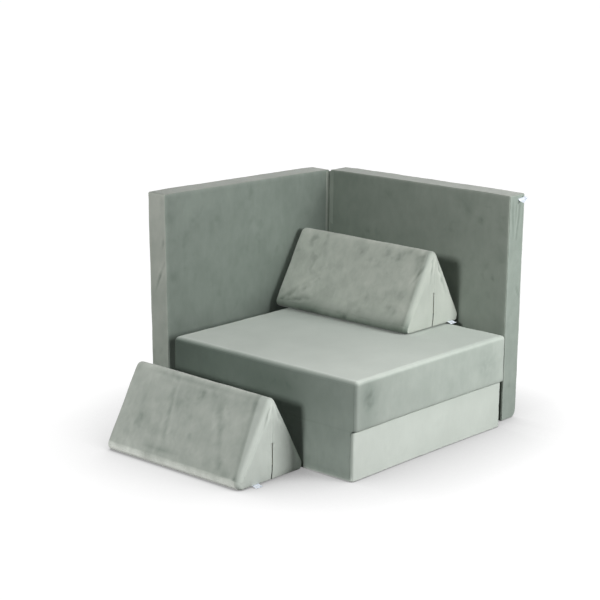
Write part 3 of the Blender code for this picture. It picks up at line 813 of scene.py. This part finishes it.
def build_front_panel(velvet):
    """One panel of fabric up the fronts of both halves. It creases where the base folds."""
    lower_low, lower_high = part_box("base_lower_cover")
    upper_low, upper_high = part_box("base_upper_cover")
    fold = Vector(JOINTS["base_fold"]["pos_m"])
    face = lower_low.y - PANEL_PROUD
    low = lower_low.z + PANEL_FROM_EDGE
    high = upper_high.z - SEAT_CROWN - SEAT_TOP_EDGE
    left_gap = SEAT_LEFT_CORNER * 0.7
    right_gap = SEAT_CORNER * 0.7
    fold_marks = [fold.z + PANEL_FOLD * k / 6 for k in range(-9, 10)]
    lines = [
        fill_in([-1.0, 1.0], 0.02),
        [0.0, 0.5, 1.0],
        fill_in([low, low + 0.002, low + 0.005, high] + fold_marks, FLAT_STEP),
    ]

    def place(at):
        across, depth, z = at.T
        turn = np.clip((z - fold.z) / (2 * PANEL_FOLD) + 0.5, 0, 1)
        blend = turn * turn * (3 - 2 * turn)
        left = lower_low.x + (upper_low.x - lower_low.x) * blend + left_gap
        right = lower_high.x + (upper_high.x - lower_high.x) * blend - right_gap
        x = (left + right) / 2 + (right - left) / 2 * across
        crease = bell(z - fold.z, CREASE_WIDTH) * PANEL_DIP
        tuck = np.exp(-(z - low) / 0.003) * PANEL_PROUD * 2
        y = face + crease + tuck + SHEET_THICKNESS * depth
        return np.stack([x, y, z], axis=1)

    skin = Skin(lines, place)
    ripple = np.maximum(0, noise_at(skin.points * (1.0, 1.0, 2.0), 10.0, 4.0)) * 0.0003
    skin.points[:, 1] += ripple * (skin.at[:, 1] < 0.25)
    height = skin.at[:, 2]
    # Painted highlight along the bottom edge, and a little painted shade in the crease at the fold
    skin.brush += 0.8 * bell(height - low, 0.004) - 0.04 * bell(height - fold.z, 0.003)
    for x, z, along, up, light in PANEL_AREAS:
        skin.brush += light * bell(skin.points[:, 0] - x, along) * bell(height - z, up)
    panel = skin.build("front_panel", velvet, ["front"] * 6, [0.40] * 6, thickness=0)
    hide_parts("base_fold_strip")
    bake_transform(panel)


# Mat

def mat_form(half, side, lean, rise, marks, steps):
    """A panel's form: a rounded slab whose inner face and top are crowned. Its outer foot is
    round. Its far end stands higher, and leans out at the top and in at the foot, where the
    zip's line stays straight."""
    edge = (MAT_EDGE,) * 3
    skin = Skin([fill_in(line, step) for line, step in zip(marks, steps)], rounded(half, edge, edge))
    x, y, z = skin.at.T
    inner = on_face(skin.at, half, 1, -side)
    skin.points[:, 1] -= side * MAT_CROWN * plateau(skin.at, half, (0, 2)) * inner
    away = (x / half.x + 1) / 2
    crown = rise * away + MAT_TOP_CROWN * (1 - (x / half.x) ** 10)
    skin.points[:, 2] += crown * np.clip(z / half.z, 0, 1) ** 2
    round_foot(skin.points, half, side)
    off_zip = np.clip((np.abs(y) - ZIP_STRAIGHT) / (half.y - ZIP_STRAIGHT), 0, 1)
    near_foot = np.clip((ZIP_FADE - half.z - z) / ZIP_FADE, 0, 1)
    skin.points[:, 1] += side * lean * away * z / half.z * (1 - near_foot * (1 - off_zip))
    skin.find_normals()
    return skin


def mat_panel(node, heading, side, lean, rise, faces, marks, end_folds, velvet, foam):
    """One panel of the mat. Its own X runs out from the corner, side is where its outer face
    lies on its own Y, and faces are its tones at X, -Y and Y, each a pile tone with painted light."""
    corner = Vector(JOINTS["mat_fold"]["pos_m"])
    corner.z = 0
    back_low, back_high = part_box("back_cover")
    thickness = back_high.y - back_low.y - MAT_CROWN
    half = Vector((back_high.x - back_low.x, thickness, MAT_HEIGHT)) / 2
    start = MAT_GAP + half.x
    out = Vector((cos(heading), sin(heading), 0))
    outward = Vector((-sin(heading), cos(heading), 0)) * side
    middle = corner + out * start + outward * half.y + Vector((0, 0, half.z))
    move = Matrix.Translation(middle) @ Matrix.Rotation(heading, 4, "Z")
    slit_end = half.x - ZIP_END_MARGIN
    foot = round_marks(MAT_FOOT)
    channel_end = slit_end + CHANNEL_SPARE
    marks_x = mirrored(arc_marks(half.x, MAT_EDGE)) + stops(slit_end)
    marks_y = mirrored(arc_marks(half.y, MAT_EDGE)) + [side * (half.y - place) for place in foot]
    marks_z = mirrored(arc_marks(half.z, MAT_EDGE)) + [place - half.z for place in foot]
    core_marks = (marks_x + stops(channel_end), marks_y + mirrored(CHANNEL_LINES), marks_z)
    core = mat_form(half, side, lean, rise, core_marks, [CORE_STEP] * 3)
    behind_zip = on_zip(core.at, half, 2, -1, channel_end)
    build_core(core, behind_zip, core.at[:, 1], node, "mat_" + node, foam, move)
    marks_x += seam_marks(half.x, BOX_SEAM_INSET)
    marks_y += mirrored(SLIT_LINES)
    marks_z += seam_marks(half.z, BOX_SEAM_INSET)
    skin = mat_form(half, side, lean, rise,
                    (marks_x, marks_y, marks_z), (FLAT_STEP, FINE_STEP, FLAT_STEP))
    at = skin.at
    inner = on_face(at, half, 1, -side)
    outer = on_face(at, half, 1, side)
    far_end = on_face(at, half, 0, 1)
    loose = inner | outer | far_end | on_face(at, half, 2, 1)
    skin.wave(0.0010, 7.0, 5.0, loose)
    skin.wave(0.0005, 20.0, 6.0, loose)
    # Painted highlights round the edges and along the seams
    skin.paint_edge_highlights(0.06)
    for sign in (-1, 1):
        skin.sew(across_loop(at, half, 1, sign, BOX_SEAM_INSET), 0.8, 0.10)
    for along, height, reach, strength in marks:
        skin.press((along - start, -side * half.y, height - half.z), reach, 0.8 * strength, inner)
    for (from_y, from_z), (to_y, to_z), width, depth in end_folds:
        skin.fold((half.x, side * (from_y - half.y), from_z - half.z),
                  (half.x, side * (to_y - half.y), to_z - half.z), width, depth, far_end)
    skin.open_slit(at[:, 1], on_zip(at, half, 2, -1, slit_end))
    side_tones = ("mat_outer", *faces, "underside", "mat_top")
    piece = skin.build(node + "_panel", velvet, side_tones, (0.5, 0.5, 0.5, 0.5, 0.4, 0.4), move)
    declare(piece, node + "_cover", "mat_" + node)


def round_foot(points, half, side):
    """Rounds the bottom edge of a panel's outer side."""
    across = points[:, 1] * side - (half.y - MAT_FOOT)
    down = MAT_FOOT - half.z - points[:, 2]
    turned = (across > 0) & (down > 0)
    shorten = np.maximum(across, down) / np.maximum(np.hypot(across, down), 1e-9)
    points[:, 1] = np.where(turned, side * (half.y - MAT_FOOT + across * shorten), points[:, 1])
    points[:, 2] = np.where(turned, MAT_FOOT - half.z - down * shorten, points[:, 2])


def build_mat(velvet, foam):
    along = JOINTS["arm_zip_run"]["axis"]
    arm_heading = atan2(along[1], along[0])
    mat_panel("arm", arm_heading, -1, ARM_LEAN, ARM_RISE,
              ("arm_end", "mat_outer", "arm_inner"), ARM_MARKS, ARM_END_FOLDS, velvet, foam)
    mat_panel("back", 0.0, 1, 0.0, BACK_RISE,
              ("back_end", "back_inner", "mat_outer"), BACK_MARKS, BACK_END_FOLDS, velvet, foam)
    build_flap(arm_heading, velvet)


def build_flap(arm_heading, velvet):
    """The fold of fabric that joins the two panels, up the sofa's inner corner."""
    corner = Vector(JOINTS["mat_fold"]["pos_m"])
    hinge = np.array(corner.xy)
    out = np.array([cos(arm_heading), sin(arm_heading)])
    inward = np.array([-out[1], out[0]])
    height = MAT_HEIGHT - 2 * MAT_EDGE
    lines = [
        fill_in([-FLAP_REACH, -0.010, -0.009, -0.004, -0.002, 0.0, 0.002, 0.004, FLAP_REACH], 0.003),
        [0.0, SHEET_THICKNESS],
        fill_in([MAT_EDGE, MAT_EDGE + height], FLAT_STEP),
    ]

    def place(at):
        run = at[:, :1]
        depth = FLAP_PROUD - at[:, 1:2]
        on_arm = hinge - run * out + inward * depth
        on_back = hinge + run * np.array([1.0, 0.0]) - depth * np.array([0.0, 1.0])
        inner_corner = hinge + depth * np.array([1.0, -1.0])
        flat = np.where(run < 0, on_arm, on_back)
        flat = flat + (inner_corner - flat) * np.exp(-np.abs(run) / 0.0008) * 0.5
        return np.concatenate([flat, at[:, 2:]], axis=1)

    skin = Skin(lines, place)
    run = skin.at[:, 0]
    # The arm's side of the fold takes the arm's lighter tone, nap and painted light together, and its rim
    # and bend get painted highlights
    skin.brush += 0.70 * (run < -0.009) + 0.35 * bell(run + FLAP_REACH, 0.003)
    skin.brush += 0.25 * bell(run + 0.009, 0.0015)
    flap = skin.build("corner_fold", velvet, ["back_inner"] * 6, [0.6] * 6, thickness=0)
    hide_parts("mat_fold_strip")
    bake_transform(flap)


# Wedges

def wedge_outline(centre, radius, rise, column, row):
    """A point of the round triangle and its normal, on the side that column and row say.
    centre is half the inner triangle's base and rise its height."""
    top = radius * cos(pi / 6)
    if row <= 0.0:
        return (centre * column, 0.0), (0.0, -1.0)
    if row >= 1.0:
        y = column * centre + top * column ** 3
        if abs(y) <= top:
            z = radius + rise + sqrt(radius ** 2 - y ** 2)
            return (y, z), (y / radius, sqrt(1 - (y / radius) ** 2))
        sign = 1 if y > 0 else -1
        z = radius * 1.5 + rise - (abs(y) - top) * sqrt(3)
        return (y, z), (sign * cos(pi / 6), 0.5)
    angle = -pi / 2 + row * 2 * pi / 3
    sign = 1 if column > 0 else -1
    normal = (sign * cos(angle), sin(angle))
    return (sign * centre + radius * normal[0], radius + radius * normal[1]), normal


def wedge_placing(centre, radius, rise, half, end_edge):
    """Places lattice points, whose Y is a column from -1 to 1 and Z a row from 0 to 1."""
    def ring(column, row, inset):
        place, normal = wedge_outline(centre, radius, rise, column, row)
        inset = inset * (WEDGE_END_FOOT + (1 - WEDGE_END_FOOT) * min(1.0, 2 * (1 + normal[1])))
        return np.array([place[0] - normal[0] * inset, place[1] - normal[1] * inset])

    def place(at):
        placed = np.zeros_like(at)
        flat = half - end_edge
        for index, (x, column, row) in enumerate(at):
            lean = min(1.0, max(0.0, (abs(x) - flat) / end_edge))
            inset = end_edge * (1 - sqrt(1 - lean ** 2))
            if abs(column) > 1 - 1e-9 or row < 1e-9 or row > 1 - 1e-9:
                y, z = ring(column, row, inset)
            else:
                share = (column + 1) / 2
                y, z = (
                    (1 - row) * ring(column, 0.0, inset) + row * ring(column, 1.0, inset)
                    + (1 - share) * ring(-1.0, row, inset) + share * ring(1.0, row, inset)
                    - (1 - share) * (1 - row) * ring(-1.0, 0.0, inset)
                    - share * (1 - row) * ring(1.0, 0.0, inset)
                    - (1 - share) * row * ring(-1.0, 1.0, inset)
                    - share * row * ring(1.0, 1.0, inset)
                )
            placed[index] = x, y, z
        return placed

    return place


def wedge_form(centre, rise, half, far_rise, marks, steps):
    """A wedge's form: a round triangle along X, swollen on its slopes and ends. Its far end
    reaches a little further, and its ridge stands higher there by far_rise."""
    skin = Skin([fill_in(line, step) for line, step in zip(marks, steps)],
                wedge_placing(centre, WEDGE_EDGE, rise, half, WEDGE_END_EDGE))
    x, column, row = skin.at.T
    body = 1 - np.minimum(1.0, np.abs(x) / half) ** PLATEAU
    share = np.clip((skin.points[:, 2] - WEDGE_EDGE) / rise, 0, 1)
    cap = (1 - column ** 4) * (1 - np.abs(2 * row - 1) ** 6)
    swell = WEDGE_SWELL * (1 - (2 * share - 1) ** 2) * body * (row > 1 - TOUCH)
    swell += WEDGE_END_SWELL * np.clip(cap, 0, 1) * (np.abs(x) > half - TOUCH)
    skin.push(swell)
    skin.points[:, 0] -= WEDGE_FAR_REACH * np.clip(-x / half, 0, 1) ** 3
    skin.points[:, 2] += far_rise * share * (0.5 - x / half / 2)
    skin.find_normals()
    return skin


def on_wedge_zip(at, half, zip_start, slit_row):
    """Which lattice points lie on the faces that the zip runs over, under the wedge and up its
    near end."""
    under = (at[:, 2] < TOUCH) & (at[:, 0] > zip_start - STOP_GAP / 2)
    return under | (at[:, 0] > half - TOUCH) & (at[:, 2] < slit_row + 0.001)


def wedge(node, far_rise, cap, band, folds, marks, end_folds, velvet, foam):
    """A wedge's cover and core. cap is how far the near end's panel wraps round onto the slopes
    at the top, and band the painted light along the lower front edge, lightest where it turns
    under towards the floor. A band below 0 is painted shade there, darker towards the bottom."""
    low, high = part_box(node + "_cover")
    move = Matrix.Translation(((low.x + high.x) / 2, (low.y + high.y) / 2, low.z))
    half = (high.x - low.x) / 2 - WEDGE_END_INSET
    centre = (high.y - low.y) / 2 - WEDGE_EDGE
    rise = high.z - low.z - 2 * WEDGE_EDGE
    slit_row = WEDGE_SLIT_TOP / (rise + 2 * WEDGE_EDGE)
    zip_start = WEDGE_ZIP_MARGIN - half
    marks_x = mirrored([half - place for place in round_marks(WEDGE_END_EDGE)])
    marks_x += [zip_start, zip_start - STOP_GAP]
    wrap = [half - WEDGE_END_EDGE - 0.003 * k for k in range(1, 11)]
    rows = [0.0, slit_row, slit_row + 0.002, 1.0, 0.01, 0.025, 0.975, 0.99]
    channel = mirrored([line / centre for line in CHANNEL_LINES] + [1.0])
    core = wedge_form(centre, rise, half, far_rise,
                      (marks_x, channel, rows), (CORE_STEP, 0.15, 0.1))
    behind_zip = on_wedge_zip(core.at, half, zip_start, slit_row)
    build_core(core, behind_zip, core.at[:, 1] * centre, node, node, foam, move)
    columns = mirrored([line / centre for line in SLIT_LINES] + [1.0])
    columns += mirrored([1 - line / centre for line in (0.002, 0.005, 0.009)])
    skin = wedge_form(centre, rise, half, far_rise, (marks_x + wrap, columns, rows),
                      (FINE_STEP, 0.006 / centre, 1 / WEDGE_ROWS))
    x, column, row = skin.at.T
    end = np.abs(x) > half - TOUCH
    near_end = x > half - TOUCH
    slope = row > 1 - TOUCH
    round_side = (row > TOUCH) & ~end
    lift = np.clip(skin.points[:, 2] / 0.03, 0, 1) * np.where(slope | end, 1.0, 0.3)
    skin.wave(0.0012, 9.0, 7.0, lift)
    skin.wave(0.0009, 22.0, 8.0, lift)
    skin.find_normals()
    share = np.clip(skin.points[:, 2] / (rise + 2 * WEDGE_EDGE), 0, 1)
    off = half - x - cap * (0.2 + 0.8 * share ** 0.8)
    skin.capped = np.where(round_side, np.clip(0.5 - off / WEDGE_SEAM_WIDTH, 0, 1), 0.0)
    skin.sew(np.where(round_side, off, 1.0), 0.4, 0.0)
    # Painted shade where the end panel wraps onto the slopes and beside its seam on the slope, and a
    # painted highlight along the ridge
    skin.brush -= CAP_SHADE * skin.capped * (1 - skin.normals[:, 0] ** 2)
    skin.sew(np.where(near_end & (row > slit_row), skin.points[:, 1], 1.0), 0.6, 0.06)
    skin.brush -= CAP_SEAM_SHADE * bell(off - 0.008, 0.008) * slope
    ridge = np.exp(-(column * centre / RIDGE_REACH) ** 4) * np.clip(off / 0.02, 0, 1)
    skin.brush += RIDGE_LIGHT * ridge * slope

    def on_slope(along, down):
        return (along, -WEDGE_EDGE * cos(pi / 6) - down / 2, WEDGE_EDGE * 1.5 + rise - down * cos(pi / 6))

    front = slope & (column < 0)
    for start, finish, width, depth in folds:
        skin.fold(on_slope(*start), on_slope(*finish), width, depth, front)
    for along, down, reach, strength in marks:
        skin.press(on_slope(along, down), reach, strength, front)
    for start, finish, width, depth in end_folds:
        skin.fold((half, *start), (half, *finish), width, depth, near_end)
    height = skin.points[:, 2] + 0.0015 * noise_at(skin.points, 30.0, 6.0)
    # Painted light along the lower front edge, lightest where it turns under towards the floor; with a
    # band below 0 it is painted shade, darker towards the bottom
    if band > 0:
        pale = 0.34 + 1.3 * np.clip((BAND_TURN - height) / BAND_TURN, 0, 1) ** 1.2
        pale = pale * np.clip((BAND_TOP - height) / 0.003, 0, 1)
        pale = pale * np.clip(np.minimum(off, half + x) / BAND_FADE, 0, 1)
    else:
        pale = bell(height, LOW_SHADE_HEIGHT)
    skin.brush += band * pale * (round_side & (column < 0))
    skin.open_slit(column * centre, on_wedge_zip(skin.at, half, zip_start, slit_row))
    side_tones = [node + "_end"] * 2 + [node + "_slope"] * 4
    piece = skin.build(node + "_skin", velvet, side_tones, (0.25, 0.25, 0.9, 0.9, 0.5, 0.9), move)
    declare(piece, node + "_cover", node)


# Labels and zips

def build_label(name, body, twist, finish):
    """A blank ribbon, folded double, that bends away from the seam it is sewn into. twist is
    how far it has turned, just off the seam."""
    node = name + "_label"
    low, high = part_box(node)
    reach = high.x - low.x
    width = high.y - low.y
    drop = high.z - low.z - SHEET_THICKNESS
    lines = [
        fill_in([0.0, reach * 0.25, reach - 0.001, reach], 0.0015),
        fill_in([-width / 2, width / 2], 0.0025),
        [0.0, 0.3, 0.5, 0.7, 1.0],
    ]

    def place(at):
        run, across, depth = at.T
        turn = np.clip((run / reach - 0.1) / 0.9, 0, 1)
        fall = drop * (1 - np.cos(pi * turn)) / 2
        tip = np.clip((run - reach + 0.001) / 0.001, 0, 1)
        depth = (depth - 0.5) * SHEET_THICKNESS * (1 - 0.6 * tip)
        across = across * (1 - 0.04 * np.sin(pi * run / reach))
        angle = twist * np.clip(run / reach / 0.3, 0, 1)
        y = across * np.cos(angle) - depth * np.sin(angle)
        z = high.z - SHEET_THICKNESS / 2 - fall + across * np.sin(angle) + depth * np.cos(angle)
        return np.stack([low.x + run, (low.y + high.y) / 2 + y, z], axis=1)

    skin = Skin(lines, place)
    piece = skin.build(name + "_ribbon", finish, [0.9] * 6, [0.0] * 6, thickness=0)
    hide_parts(node)
    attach(piece, body)


def finish_nodes(ending, finish):
    for name, node in frame["nodes"].items():
        if name.endswith(ending):
            node.data.materials.clear()
            node.data.materials.append(finish)


# Stage

def build_camera():
    data = bpy.data.cameras.new("view")
    data.lens = CAMERA_LENS
    data.clip_end = 50.0
    camera = link("view", data)
    turn = Matrix.Rotation(CAMERA_AZIMUTH, 4, "Z") @ Matrix.Rotation(pi / 2 - CAMERA_ELEVATION, 4, "X")
    camera.matrix_world = Matrix.Translation(CAMERA_PLACE) @ turn @ Matrix.Rotation(CAMERA_ROLL, 4, "Z")
    bpy.context.scene.camera = camera


def build_lamp(name, kind, strength, toward, **settings):
    """A lamp that shines from toward, which for an area lamp is also its place."""
    data = bpy.data.lights.new(name, kind)
    data.energy = strength
    for setting, value in settings.items():
        setattr(data, setting, value)
    lamp = link(name, data)
    aim = Vector(SOFTBOX_AIM if kind == "AREA" else (0, 0, 0))
    lamp.location = toward
    lamp.rotation_euler = (Vector(toward) - aim).to_track_quat("Z", "Y").to_euler()


def build_floor():
    mesh = bpy.data.meshes.new("floor")
    corners = [(FLOOR_REACH * x, FLOOR_REACH * y, 0) for x, y in ((-1, -1), (1, -1), (1, 1), (-1, 1))]
    mesh.from_pydata(corners, [], [(0, 1, 2, 3)])
    pale = Finish("pale_floor", Roughness=0.9, Specular_IOR_Level=0.0, Emission_Strength=1.0,
                  Base_Color=(FLOOR_TONE, FLOOR_TONE, FLOOR_TONE, 1.0))
    # Painted contact shadow: the floor's glow dims where the space over it is closed in
    near = pale.add("ShaderNodeAmbientOcclusion", {"samples": 16}, {"Distance": FLOOR_SHADE_REACH}, "AO")
    pale.feed("Emission Color", pale.mix(pale.seen(), (0.0, 0.0, 0.0, 1.0), pale.ramp(near, FLOOR_SHADES)))
    mesh.materials.append(pale.material)
    floor = link("floor", mesh)
    floor.location.z = cad_box[0][2] - 0.0002


def build_world():
    world = bpy.data.worlds.new("studio")
    bpy.context.scene.world = world
    world.use_nodes = True
    sky = Nodes(world.node_tree)
    colour = sky.mix(sky.seen(), (SKY, SKY, SKY, 1.0), (BACKDROP, BACKDROP, BACKDROP, 1.0))
    sky.join(sky.tree.nodes["Background"].inputs["Color"], colour)


def main():
    for thing in list(bpy.context.scene.objects):
        if thing.type in ("LIGHT", "CAMERA"):
            bpy.data.objects.remove(thing)
    bpy.context.scene.view_settings.view_transform = "Standard"
    velvet = velvet_finish()
    foam = foam_finish()
    build_base(velvet, foam)
    build_mat(velvet, foam)
    for node, looks in WEDGES.items():
        wedge(node, *looks, velvet, foam)
    label = label_finish()
    for name, (body, twist) in LABELS.items():
        build_label(name, body, radians(twist), label)
    finish_nodes("_zip", tape_finish())
    finish_nodes("_slider", slider_finish())
    build_camera()
    build_world()
    for name, (strength, toward, spread) in SUNS.items():
        build_lamp(name, "SUN", strength, toward, angle=radians(spread))
    build_lamp("softbox", "AREA", SOFTBOX, SOFTBOX_PLACE, size=SOFTBOX_SIZE)
    build_floor()


main()
